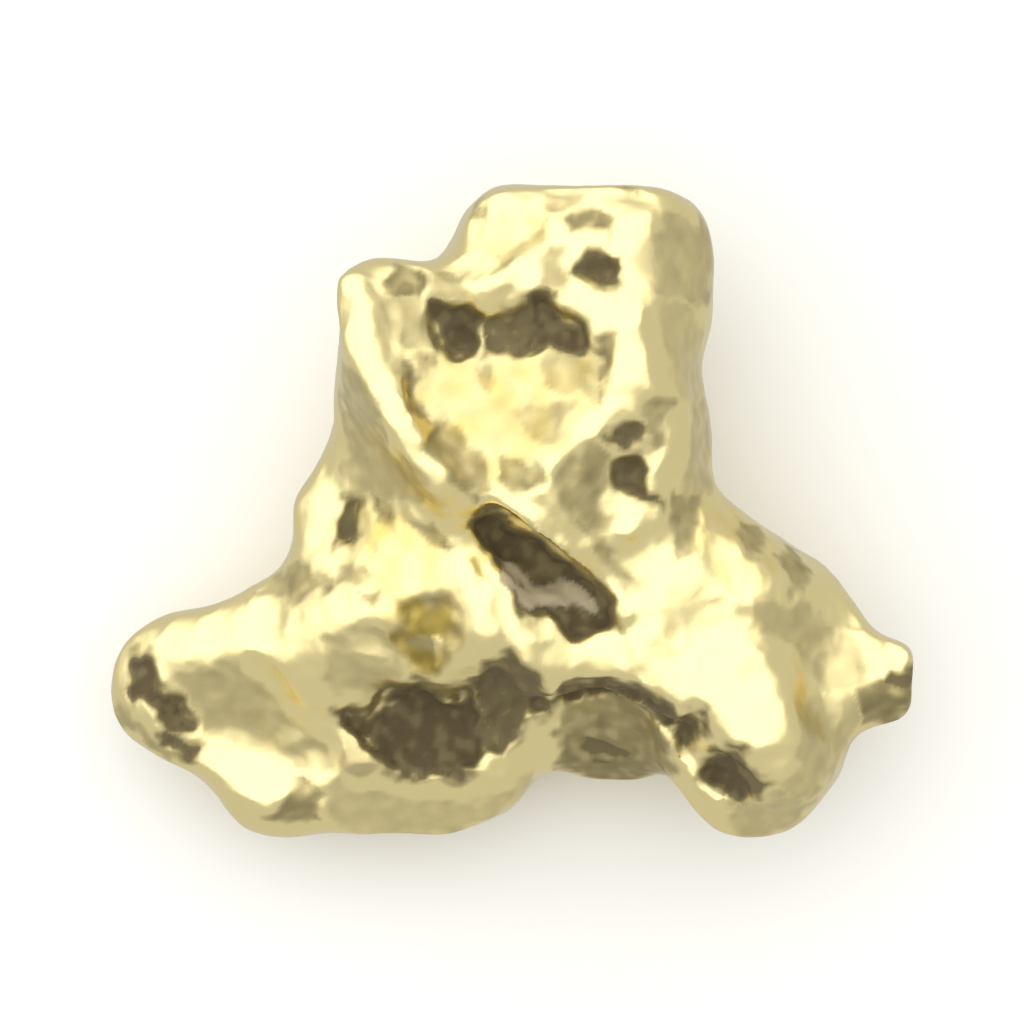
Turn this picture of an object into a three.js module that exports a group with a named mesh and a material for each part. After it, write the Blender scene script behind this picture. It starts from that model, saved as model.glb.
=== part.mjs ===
// A water-worn gold nugget: one solid lump of native gold, lying on its flattest side.
// Millimetres, +Z up. X runs along the nugget's length and Y along its width, from the toes to the crown.
// The origin is the middle of its outline, on the plane that it rests on.
//
// The form is a smooth field, negative inside: lumps melt into each other, the metal swells unevenly, and
// the plane of rest wears the lowest lumps flat. A net of triangles is drawn over the field, and hollows and
// ridges are pressed into the net.

import * as THREE from 'three';
import { ImprovedNoise } from 'three/addons/math/ImprovedNoise.js';

// Driving dimensions of the finished nugget
const LENGTH = 12.1; // toe to knob, along X
const WIDTH = 9.85; // toes to crown, along Y
const THICKNESS = 5.2; // highest crest above the plane of rest

// How widely one form runs into the next
const LUMP_BLEND = 0.6;
const HEAD_BLEND = 0.5;
const WALL_BLEND = 0.25;

// Uneven swells of the worn metal
const SWELLS = [
  { size: 1.9, height: 0.16 },
  { size: 0.85, height: 0.08 },
];

// The head, the upper part of the outline: a thick block with a rounded crown
const HEAD = [
  { name: 'block', shape: 'box', at: [0.0, 1.7, 3.2], half: [2.68, 2.0, 1.6], turn: -2, round: 0.75 },
  { name: 'crown', shape: 'box', at: [1.1, 3.65, 2.9], half: [1.95, 1.25, 1.65], turn: -2, round: 0.95 },
  { name: 'base', shape: 'ball', at: [0.15, 1.75, 2.1], half: [2.35, 2.2, 1.75], turn: 0 },
  { name: 'side bump', shape: 'ball', at: [1.95, 1.2, 2.7], half: [0.95, 1.15, 1.7], turn: 0 },
  { name: 'head pad', shape: 'ball', at: [0.8, 2.9, 0.9], half: [1.3, 1.2, 1.05], turn: 0 },
];

// The head's flat sides: a point on each, where it faces in plan (0 is +X, 90 is +Y), and how steep it is
const WALLS = [
  { name: 'left wall', point: [-1.75, 1.0, 4.6], facing: 215, steepness: 68 },
  { name: 'right bevel', point: [2.15, 3.0, 4.65], facing: 8, steepness: 47 },
];

// The middle, the two feet and what grows on them. A lump may be worn flat on one side, as a wall is
const BODY = [
  { name: 'middle', shape: 'ball', at: [-0.6, -1.3, 2.35], half: [2.4, 2.1, 1.95], turn: 0 },
  { name: 'shoulder bump', shape: 'ball', at: [-2.6, 0.0, 2.3], half: [0.8, 1.0, 0.95], turn: 0 },
  { name: 'left foot', shape: 'bar', from: [-1.6, -1.75, 2.2], to: [-5.1, -2.55, 1.6], radii: [1.45, 0.85] },
  { name: 'left toe', shape: 'ball', at: [-5.2, -2.7, 1.5], half: [0.87, 0.95, 1.0], turn: 0 },
  { name: 'left heel', shape: 'bar', from: [-4.6, -3.0, 1.5], to: [-3.55, -4.1, 1.4], radii: [0.8, 0.9] },
  { name: 'left pad', shape: 'ball', at: [-4.0, -2.9, 0.8], half: [1.2, 1.0, 0.95], turn: -20 },
  { name: 'belly root', shape: 'ball', at: [-2.6, -4.1, 1.4], half: [0.8, 0.75, 1.0], turn: 0 },
  { name: 'belly', shape: 'ball', at: [-1.3, -3.6, 1.7], half: [1.85, 1.22, 1.4], turn: 0,
    worn: { point: [-1.3, -3.95, 2.95], facing: 268, steepness: 45 } },
  { name: 'pebble', shape: 'ball', at: [1.6, -3.15, 1.5], half: [1.25, 1.05, 1.2], turn: 0,
    worn: { point: [1.5, -2.9, 2.6], facing: 265, steepness: 38 } },
  { name: 'right foot', shape: 'bar', from: [1.2, 0.3, 2.9], to: [3.65, -3.75, 2.5], radii: [1.7, 1.12] },
  { name: 'right shoulder', shape: 'ball', at: [3.35, -1.35, 2.3], half: [1.8, 1.25, 1.75], turn: -36 },
  { name: 'right flank', shape: 'ball', at: [4.05, -2.75, 2.1], half: [1.25, 1.7, 1.6], turn: 0,
    worn: { point: [4.1, -2.3, 3.45], facing: 10, steepness: 38 } },
  { name: 'right pad', shape: 'ball', at: [3.6, -2.8, 0.9], half: [1.2, 1.4, 1.05], turn: 0 },
  { name: 'knob root', shape: 'bar', from: [4.3, -1.6, 2.2], to: [5.4, -2.5, 2.2], radii: [0.7, 0.5] },
  { name: 'knob', shape: 'box', at: [5.42, -2.64, 2.35], half: [0.68, 0.55, 0.55], turn: 0, round: 0.12 },
];

// Marks on the upper skin, along points in plan: how wide to each side, and how deep.
// A ridge has a depth below zero.
const MARKS = [
  {
    name: 'long ridge',
    along: [[-2.4, 3.4], [-2.25, 2.5], [-1.9, 1.75], [-1.5, 1.0], [-0.66, 0]],
    wide: 0.35, depth: -0.18,
  },
  {
    name: 'right crest',
    along: [[1.1, 3.15], [1.9, 2.85], [2.1, 2.1], [1.6, 1.35], [0.7, 0.9]],
    wide: 0.5, depth: -0.15,
  },
  { name: 'brow', along: [[-0.6, 3.3], [0.3, 3.6], [1.1, 3.15]], wide: 0.35, depth: -0.12 },
  {
    name: 'slot lip',
    along: [[-0.1, 0.25], [0.7, -0.25], [1.3, -1.0], [1.95, -1.9]],
    wide: 0.35, depth: -0.15,
  },
  { name: 'middle lip', along: [[-0.35, -0.9], [0.1, -1.7], [0.5, -2.5]], wide: 0.4, depth: -0.15 },
  { name: 'mouth lip', along: [[-0.9, -2.05], [0.6, -2.1], [1.6, -2.05], [2.5, -2.3]], wide: 0.35, depth: -0.2 },
  { name: 'left foot band', along: [[-4.45, -1.6], [-3.8, -2.3], [-3.0, -2.9]], wide: 0.45, depth: -0.12 },
  { name: 'basin', along: [[-0.5, 2.1], [0.1, 1.7]], wide: 1.2, depth: 0.25 },
  { name: 'left eye', along: [[-0.85, 2.8], [-0.85, 2.65]], wide: 0.45, depth: 0.6 },
  { name: 'right eye', along: [[-0.15, 2.75], [0.4, 2.85], [0.85, 2.6]], wide: 0.4, depth: 0.55 },
  { name: 'crown pit', along: [[1.15, 3.7], [1.4, 3.6]], wide: 0.34, depth: 0.45 },
  { name: 'cheek pit', along: [[1.65, 1.0], [2.0, 0.3]], wide: 0.36, depth: 0.5 },
  { name: 'cheek groove', along: [[0.95, 0.6], [1.3, -0.3], [1.8, -1.3]], wide: 0.4, depth: 0.25 },
  { name: 'slot', along: [[-0.45, -0.25], [0.5, -0.87], [1.3, -1.55]], wide: 0.42, depth: 0.85 },
  { name: 'mouth', along: [[-2.1, -3.2], [-1.45, -3.4], [-0.75, -3.45]], wide: 0.55, depth: 0.75 },
  { name: 'mouth corner', along: [[-0.3, -2.75], [0.2, -2.6]], wide: 0.5, depth: 0.5 },
  { name: 'arch', along: [[0.9, -2.7], [1.45, -2.6], [2.05, -2.8], [2.35, -3.05]], wide: 0.3, depth: 0.45 },
  { name: 'foot pit', along: [[3.0, -3.75], [3.45, -4.05]], wide: 0.42, depth: 0.5 },
  { name: 'small foot pit', along: [[2.6, -3.15], [2.63, -3.25]], wide: 0.32, depth: 0.3 },
  { name: 'toe pit', along: [[-5.5, -2.4], [-5.25, -2.75], [-4.85, -3.15]], wide: 0.34, depth: 0.35 },
  { name: 'foot trough', along: [[-4.45, -2.7], [-3.35, -3.35]], wide: 0.6, depth: 0.25 },
  { name: 'heel crevice', along: [[-3.0, -3.9], [-2.85, -4.5]], wide: 0.32, depth: 0.25 },
  { name: 'bump pit', along: [[-2.45, 0.05], [-2.55, -0.4]], wide: 0.32, depth: 0.35 },
  { name: 'stained pit', along: [[-1.4, -1.6], [-1.2, -1.7]], wide: 0.45, depth: 0.22 },
  { name: 'shoulder facet', along: [[4.3, -1.9], [4.8, -2.0]], wide: 0.6, depth: 0.2 },
];

// Marks on the side that it rests on
const UNDER_MARKS = [
  { name: 'long fold', along: [[-2.6, -0.9], [-0.8, -0.2], [0.9, 0.4]], wide: 0.6, depth: 0.4 },
  { name: 'cross fold', along: [[0.2, -3.9], [0.7, -2.4], [1.6, -1.1]], wide: 0.5, depth: 0.4 },
  { name: 'head dent', along: [[-1.3, 2.0], [-0.9, 2.6]], wide: 0.6, depth: 0.35 },
  { name: 'side dent', along: [[2.2, 1.4], [2.3, 1.9]], wide: 0.5, depth: 0.3 },
];

// Dents in its sides, at points in space
const SIDE_MARKS = [
  { name: 'corner dent', along: [[-1.9, 3.5, 2.0], [-1.3, 3.7, 1.6]], wide: 0.8, depth: 0.3 },
  { name: 'back dent', along: [[0.5, 4.7, 1.9], [0.9, 4.6, 1.4]], wide: 0.7, depth: 0.3 },
  { name: 'back nick', along: [[2.1, 4.6, 2.4], [2.5, 4.2, 1.8]], wide: 0.5, depth: 0.25 },
  { name: 'left wall dent', along: [[-2.5, 2.6, 1.9], [-2.3, 1.8, 1.5]], wide: 0.7, depth: 0.3 },
  { name: 'right wall dent', along: [[2.7, 2.6, 2.0], [2.8, 2.1, 1.5]], wide: 0.7, depth: 0.35 },
  { name: 'right wall nick', along: [[2.7, 0.7, 1.7], [2.7, 0.3, 1.3]], wide: 0.5, depth: 0.25 },
  { name: 'left foot dent', along: [[-3.9, -1.3, 1.4], [-3.2, -1.0, 1.2]], wide: 0.6, depth: 0.25 },
  { name: 'belly dent', along: [[-1.7, -4.6, 1.1], [-1.0, -4.6, 0.9]], wide: 0.5, depth: 0.25 },
  { name: 'flank dent', along: [[5.0, -3.2, 1.3], [4.7, -3.7, 1.1]], wide: 0.6, depth: 0.3 },
];
const MARKED_LEAN = [0.1, 0.5]; // how far skin must lean up, or down, to take the marks of that side
const MARK_FADE = [0.35, 1.15]; // shares of a mark's width between which its depth fades away

// The net over the surface
const NET_STEP = 0.268;
const AIR = 0.7; // clear space round the form
const FAR = 1e3;
const NEAR = 1e-3;
const PASSES = 6; // moves that bring a knot onto the surface, each at most a third of the net's step

const noise = new ImprovedNoise();
const { degToRad, clamp, lerp, smoothstep } = THREE.MathUtils;

function turned(p, at, degrees) {
  const angle = degToRad(degrees);
  const x = p[0] - at[0];
  const y = p[1] - at[1];
  const [cos, sin] = [Math.cos(angle), Math.sin(angle)];
  return [x * cos + y * sin, y * cos - x * sin, p[2] - at[2]];
}

// How far a point is outside a ball with three half sizes
function toBall(p, { at, half, turn }) {
  const q = turned(p, at, turn);
  const near = Math.hypot(q[0] / half[0], q[1] / half[1], q[2] / half[2]);
  const slope = Math.hypot(q[0] / half[0] ** 2, q[1] / half[1] ** 2, q[2] / half[2] ** 2);
  return slope < NEAR ? -Math.min(...half) : (near * (near - 1)) / slope;
}

// How far a point is outside a box with rounded edges
function toBox(p, { at, half, turn, round }) {
  const q = turned(p, at, turn).map((v, i) => Math.abs(v) - half[i] + round);
  const outside = Math.hypot(...q.map((v) => Math.max(v, 0)));
  return outside + Math.min(Math.max(...q), 0) - round;
}

// How far along a straight run a point lies, from 0 to 1, and its gap to that run
function alongRun(p, from, to) {
  let square = 0;
  let dot = 0;
  from.forEach((v, i) => {
    square += (to[i] - v) ** 2;
    dot += (to[i] - v) * (p[i] - v);
  });
  const share = clamp(dot / square, 0, 1);
  const gap = Math.hypot(...from.map((v, i) => p[i] - lerp(v, to[i], share)));
  return { share, gap };
}

// How far a point is outside a tapered bar with round ends
function toBar(p, { from, to, radii }) {
  const { share, gap } = alongRun(p, from, to);
  return gap - lerp(radii[0], radii[1], share);
}

const TO_SHAPE = { ball: toBall, box: toBox, bar: toBar };

// Joins two forms with a fillet
function melt(a, b, blend) {
  const overlap = Math.max(blend - Math.abs(a - b), 0) / blend;
  return Math.min(a, b) - (overlap * overlap * blend) / 4;
}

// How far a point is in front of a flat side
function toWall(p, wall) {
  const facing = degToRad(wall.facing);
  const steepness = degToRad(wall.steepness);
  const across = (p[0] - wall.point[0]) * Math.cos(facing) + (p[1] - wall.point[1]) * Math.sin(facing);
  return across * Math.sin(steepness) + (p[2] - wall.point[2]) * Math.cos(steepness);
}

// Wears a form down to a flat side
function wornTo(d, p, wall) {
  return -melt(-d, -toWall(p, wall), WALL_BLEND);
}

function toLump(p, lump) {
  const whole = TO_SHAPE[lump.shape](p, lump);
  return lump.worn ? wornTo(whole, p, lump.worn) : whole;
}

function toLumps(p, lumps, blend) {
  return lumps.reduce((d, lump) => melt(d, toLump(p, lump), blend), FAR);
}

function swellAt(p) {
  const swells = SWELLS.map(({ size, height }) => height * noise.noise(...p.map((v) => v / size)));
  return swells.reduce((sum, height) => sum + height, 0);
}

// How deep the marks cut the skin at a point
function markedAt(p, marks) {
  let depth = 0;
  for (const mark of marks) {
    let gap = FAR;
    for (let i = 1; i < mark.along.length; i++) {
      gap = Math.min(gap, alongRun(p, mark.along[i - 1], mark.along[i]).gap);
    }
    depth += mark.depth * (1 - smoothstep(gap / mark.wide, ...MARK_FADE));
  }
  return depth;
}

function toForm(p) {
  const head = WALLS.reduce((d, wall) => wornTo(d, p, wall), toLumps(p, HEAD, HEAD_BLEND));
  const lumps = melt(head, toLumps(p, BODY, LUMP_BLEND), LUMP_BLEND);
  return Math.max(lumps + swellAt(p), -p[2]);
}

// The field's slope at a point, which points out of the form
function slopeAt(p) {
  return p.map((_, i) => {
    const ahead = p.map((v, k) => (k === i ? v + NEAR : v));
    const behind = p.map((v, k) => (k === i ? v - NEAR : v));
    return (toForm(ahead) - toForm(behind)) / (2 * NEAR);
  });
}

// Moves a point onto the surface of the form
function ontoForm(p) {
  let q = p;
  for (let pass = 0; pass < PASSES; pass++) {
    const slope = slopeAt(q);
    const square = slope.reduce((sum, v) => sum + v * v, NEAR);
    const pull = clamp(toForm(q) / square, -NET_STEP / 3, NET_STEP / 3);
    q = q.map((v, i) => v - pull * slope[i]);
  }
  return q;
}

// Moves a point of the surface in or out by the marks that it lies in
function pressed(p) {
  const slope = slopeAt(p);
  const out = slope.map((v) => v / Math.hypot(...slope));
  const upper = markedAt(p, MARKS) * smoothstep(out[2], ...MARKED_LEAN);
  const under = markedAt(p, UNDER_MARKS) * smoothstep(-out[2], ...MARKED_LEAN);
  const depth = upper + under + markedAt(p, SIDE_MARKS);
  return p.map((v, i) => v - depth * out[i]);
}

const AXES = [[1, 0, 0], [0, 1, 0], [0, 0, 1]];
const CORNERS = [0, 1, 2, 3, 4, 5, 6, 7].map((n) => [n & 1, (n >> 1) & 1, n >> 2]);
const EDGES = CORNERS.flatMap((from, n) => {
  const freeBits = [1, 2, 4].filter((bit) => !(n & bit));
  return freeBits.map((bit) => [from, CORNERS[n | bit]]);
});

// One knot in each cell of a grid that the surface passes through, one patch round each edge that it crosses
function netOver(low, high) {
  const count = low.map((v, i) => Math.ceil((high[i] - v) / NET_STEP) + 1);
  const index = ([i, j, k]) => (k * count[1] + j) * count[0] + i;
  const place = (cell) => cell.map((v, i) => low[i] + v * NET_STEP);
  const plus = (a, b, times = 1) => a.map((v, i) => v + times * b[i]);
  const cells = [];
  for (let k = 0; k < count[2]; k++) {
    for (let j = 0; j < count[1]; j++) {
      for (let i = 0; i < count[0]; i++) cells.push([i, j, k]);
    }
  }
  const values = cells.map((cell) => toForm(place(cell)));
  const last = (cell) => cell.some((v, i) => v === count[i] - 1);

  const knots = [];
  const knotOf = new Map();
  for (const cell of cells) {
    if (last(cell)) continue;
    const crossings = [];
    for (const [a, b] of EDGES) {
      const from = values[index(plus(cell, a))];
      const to = values[index(plus(cell, b))];
      if (from < 0 !== to < 0) crossings.push(plus(a, plus(b, a, -1), from / (from - to)));
    }
    if (!crossings.length) continue;
    const middle = crossings.reduce((sum, c) => plus(sum, c, 1 / crossings.length), [0, 0, 0]);
    knotOf.set(index(cell), knots.length);
    knots.push(pressed(ontoForm(place(plus(cell, middle)))));
  }

  const triangles = [];
  const gap = (a, b) => Math.hypot(...plus(knots[a], knots[b], -1));
  for (const cell of cells) {
    if (last(cell)) continue;
    AXES.forEach((axis, n) => {
      const inside = values[index(cell)] < 0;
      if (inside === values[index(plus(cell, axis))] < 0) return;
      const [u, v] = [AXES[(n + 1) % 3], AXES[(n + 2) % 3]];
      const round = [cell, plus(cell, u, -1), plus(plus(cell, u, -1), v, -1), plus(cell, v, -1)];
      const [a, b, c, d] = (inside ? round : round.reverse()).map((at) => knotOf.get(index(at)));
      if (gap(a, c) < gap(b, d)) triangles.push(a, b, c, a, c, d);
      else triangles.push(a, b, d, b, c, d);
    });
  }

  const geometry = new THREE.BufferGeometry();
  geometry.setAttribute('position', new THREE.Float32BufferAttribute(knots.flat(), 3));
  geometry.setIndex(triangles);
  return geometry;
}

const reach = [LENGTH / 2 + AIR, WIDTH / 2 + AIR];
const geometry = netOver([-reach[0], -reach[1], -AIR], [...reach, THICKNESS + AIR]);

// Brings the worn form to its driving dimensions, centred over the plane of rest
geometry.computeBoundingBox();
const { min, max } = geometry.boundingBox;
geometry.translate(-(min.x + max.x) / 2, -(min.y + max.y) / 2, 0);
geometry.scale(LENGTH / (max.x - min.x), WIDTH / (max.y - min.y), THICKNESS / max.z);
geometry.computeVertexNormals();

const gold = new THREE.MeshStandardMaterial({ color: 0xf2dc8c, roughness: 0.32, metalness: 1 });
const nugget = new THREE.Mesh(geometry, gold);
nugget.name = 'nugget';

const part = new THREE.Group();
part.add(nugget);

export default part;
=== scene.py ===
import math

import bmesh
import bpy
import numpy as np
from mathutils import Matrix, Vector, noise


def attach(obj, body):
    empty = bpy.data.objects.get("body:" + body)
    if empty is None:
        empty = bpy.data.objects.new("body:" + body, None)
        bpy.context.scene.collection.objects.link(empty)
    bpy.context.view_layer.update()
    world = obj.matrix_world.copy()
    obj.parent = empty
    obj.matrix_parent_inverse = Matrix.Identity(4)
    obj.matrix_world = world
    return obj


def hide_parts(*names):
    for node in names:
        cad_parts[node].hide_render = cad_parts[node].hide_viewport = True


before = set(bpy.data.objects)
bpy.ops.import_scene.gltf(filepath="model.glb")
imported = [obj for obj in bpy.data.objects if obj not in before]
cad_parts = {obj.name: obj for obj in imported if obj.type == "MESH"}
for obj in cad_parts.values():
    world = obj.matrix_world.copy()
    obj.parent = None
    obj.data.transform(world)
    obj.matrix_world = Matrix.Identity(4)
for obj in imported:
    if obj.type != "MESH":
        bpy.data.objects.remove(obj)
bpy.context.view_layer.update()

mm = 0.001  # the skin is worked in millimetres and brought back to metres at the end


def linearHex(code):
    channels = [int(code[i:i + 2], 16) / 255 for i in (1, 3, 5)]
    return [c / 12.92 if c <= 0.04045 else ((c + 0.055) / 1.055) ** 2.4 for c in channels] + [1.0]


def addNode(tree, kind, settings=None, **links):
    node = tree.nodes.new(kind)
    for name, value in (settings or {}).items():
        setattr(node, name, value)
    for name, value in links.items():
        socket = node.inputs[int(name[2:])] if name.startswith("in") else node.inputs[name.replace("_", " ")]
        if isinstance(value, bpy.types.NodeSocket):
            tree.links.new(value, socket)
        else:
            socket.default_value = value
    return node


# Fine skin over the solid

nuggetSkin = {
    "netStep": 0.061,  # mm between points of the fine skin
    "smoothSolid": 1,  # subdivisions that take the facets off the solid
    "solidPasses": 15,  # evens out the solid's own hollows, which are pressed again finer
    "finePasses": 2,
}


def meshArrays(mesh):
    count = len(mesh.vertices)
    points = np.empty(count * 3)
    normals = np.empty(count * 3)
    mesh.vertices.foreach_get("co", points)
    mesh.vertex_normals.foreach_get("vector", normals)
    return points.reshape(-1, 3), normals.reshape(-1, 3)


def setPoints(mesh, points):
    mesh.vertices.foreach_set("co", np.ascontiguousarray(points).ravel())
    mesh.update()


def evaluated(piece, name):
    bpy.context.view_layer.update()
    graph = bpy.context.evaluated_depsgraph_get()
    mesh = bpy.data.meshes.new_from_object(piece.evaluated_get(graph), depsgraph=graph)
    mesh.name = name
    return mesh


def swapMesh(piece, mesh):
    old = piece.data
    piece.modifiers.clear()
    piece.data = mesh
    bpy.data.meshes.remove(old)


def remeshed(piece, step, passes):
    grid = piece.modifiers.new("evenNet", "REMESH")
    grid.mode = "VOXEL"
    grid.voxel_size = step
    soft = piece.modifiers.new("softNet", "SMOOTH")
    soft.factor = 0.5
    soft.iterations = passes
    swapMesh(piece, evaluated(piece, "nuggetSkin"))


def skinOverSolid(node):
    mesh = node.data.copy()
    build = bmesh.new()
    build.from_mesh(mesh)
    bmesh.ops.remove_doubles(build, verts=build.verts, dist=1e-7)
    bmesh.ops.scale(build, vec=(1 / mm, 1 / mm, 1 / mm), verts=build.verts)
    build.to_mesh(mesh)
    build.free()
    mesh.materials.clear()
    piece = bpy.data.objects.new("goldNugget", mesh)
    bpy.context.scene.collection.objects.link(piece)
    rounder = piece.modifiers.new("rounder", "SUBSURF")
    rounder.levels = rounder.render_levels = nuggetSkin["smoothSolid"]
    swapMesh(piece, evaluated(piece, "nuggetSkin"))
    remeshed(piece, nuggetSkin["netStep"], nuggetSkin["solidPasses"])
    return piece


# Marks on the skin: all places are in millimetres in plan, as seen from above

def smoothStep(low, high, values):
    share = np.clip((values - low) / (high - low), 0, 1)
    return share * share * (3 - 2 * share)


def gapToRun(points, start, end):
    run = np.subtract(end, start)
    share = np.clip((points - start) @ run / max(run @ run, 1e-12), 0, 1)
    return np.linalg.norm(points - start - share[:, None] * run, axis=1)


def gapToPath(points, path):
    return np.min([gapToRun(points, np.array(a), np.array(b)) for a, b in zip(path, path[1:])], axis=0)


def depthInside(points, outline):  # how far inside a closed outline, below zero outside
    gap = gapToPath(points, outline + outline[:1])
    inside = np.zeros(len(points), bool)
    for (ax, ay), (bx, by) in zip(outline, outline[1:] + outline[:1]):
        crosses = (ay > points[:, 1]) != (by > points[:, 1])
        with np.errstate(divide="ignore", invalid="ignore"):
            at = (bx - ax) * (points[:, 1] - ay) / (by - ay) + ax
        inside ^= crosses & (points[:, 0] < at)
    return np.where(inside, gap, -gap)


def wobble(points, size, seed):
    shift = Vector((seed * 7.3, seed * 3.1, seed * 5.7))
    return np.array([noise.noise(Vector(p) / size + shift) for p in points])


def settled(mesh, values, passes, share=1.0):  # values evened out along the skin
    edges = np.empty(len(mesh.edges) * 2, int)
    mesh.edges.foreach_get("vertices", edges)
    one, two = edges.reshape(-1, 2).T
    count = np.bincount(edges, minlength=len(values)).astype(float)
    weight = 0.5 * np.broadcast_to(share, len(values))[:, None]
    for _ in range(passes):
        around = [np.bincount(one, v[two], len(v)) + np.bincount(two, v[one], len(v)) for v in values.T]
        values = values + weight * (np.stack(around, 1) / count[:, None] - values)
    return values


# Broad rises along a path: how wide to each side, how high, and how far they are pushed out over what lies
# under them
swells = {
    "archBrow": {"path": [(0.3, -2.25), (1.4, -2.3), (2.4, -2.6)],
                 "wide": 0.55, "height": 0.2, "push": (0, -0.25)},
    "footCrest": {"path": [(3.3, -2.6), (3.95, -3.75)], "wide": 1.1, "height": 0.45, "push": (0, -0.1)},
}

# Flat facets planed into the skin: which way they lean (0 is +X, 90 is +Y), how steeply, how far under the
# skin and how far they reach
facets = {
    "rightBevel": {"at": (2.45, 3.0), "lean": 8, "slope": 47, "depth": 0.06, "reach": 2.0},
    "lowRightWall": {"at": (2.75, 1.07), "lean": -10, "slope": 60, "depth": 0.05, "reach": 0.8},
    "cheekSide": {"at": (2.4, 0.62), "lean": -20, "slope": 40, "depth": 0.08, "reach": 0.6},
    "cheekFacet": {"at": (1.1, 0.32), "lean": -25, "slope": 36, "depth": 0.06, "reach": 1.0},
    "cheekGroove": {"at": (1.62, -0.88), "lean": 10, "slope": 30, "depth": 0.04, "reach": 0.6},
    "headLeftWall": {"at": (-2.1, 1.07), "lean": 215, "slope": 66, "depth": 0.04, "reach": 1.1},
    "footTrough": {"at": (-4.23, -2.83), "lean": 250, "slope": 34, "depth": 0.06, "reach": 1.2},
    "footTroughEnd": {"at": (-3.18, -3.43), "lean": 255, "slope": 35, "depth": 0.04, "reach": 0.8},
    "heelTop": {"at": (-4.0, -4.1), "lean": 110, "slope": 14, "depth": 0.12, "reach": 0.85},
    "bellyFront": {"at": (-1.3, -3.95), "lean": 268, "slope": 42, "depth": 0.12, "reach": 1.9},
    "pebbleFront": {"at": (1.47, -3.35), "lean": 265, "slope": 38, "depth": 0.05, "reach": 0.9},
    "footCrest": {"at": (3.6, -2.9), "lean": 80, "slope": 3, "depth": 0.2, "reach": 2.1},
    "footEnd": {"at": (4.02, -4.33), "lean": 290, "slope": 55, "depth": 0.08, "reach": 0.8},
    "shoulderTop": {"at": (3.5, -0.73), "lean": 60, "slope": 20, "depth": 0.08, "reach": 0.7},
    "shoulderSide": {"at": (4.7, -1.7), "lean": 20, "slope": 45, "depth": 0.08, "reach": 0.7},
    "footRoot": {"at": (2.15, -0.73), "lean": 100, "slope": 8, "depth": 0.08, "reach": 0.6},
    "crownLeft": {"at": (-0.45, 4.2), "lean": 138, "slope": 36, "depth": 0.16, "reach": 1.0},
    "crownTop": {"at": (1.2, 4.65), "lean": 92, "slope": 40, "depth": 0.14, "reach": 1.5},
    "footTop": {"at": (-4.08, -1.63), "lean": 110, "slope": 25, "depth": 0.06, "reach": 0.8},
    "middleSlope": {"at": (-2.2, -2.3), "lean": 260, "slope": 22, "depth": 0.04, "reach": 0.9},
    "knobFace": {"at": (5.67, -2.9), "lean": 275, "slope": 50, "depth": 0.12, "reach": 0.6},
    "knobTop": {"at": (5.6, -2.3), "lean": 80, "slope": 40, "depth": 0.08, "reach": 0.5},
    "toeSide": {"at": (-5.8, -3.13), "lean": 230, "slope": 50, "depth": 0.05, "reach": 0.5},
    "bumpTop": {"at": (-2.95, 0.32), "lean": 140, "slope": 35, "depth": 0.05, "reach": 0.5},
}

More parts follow.
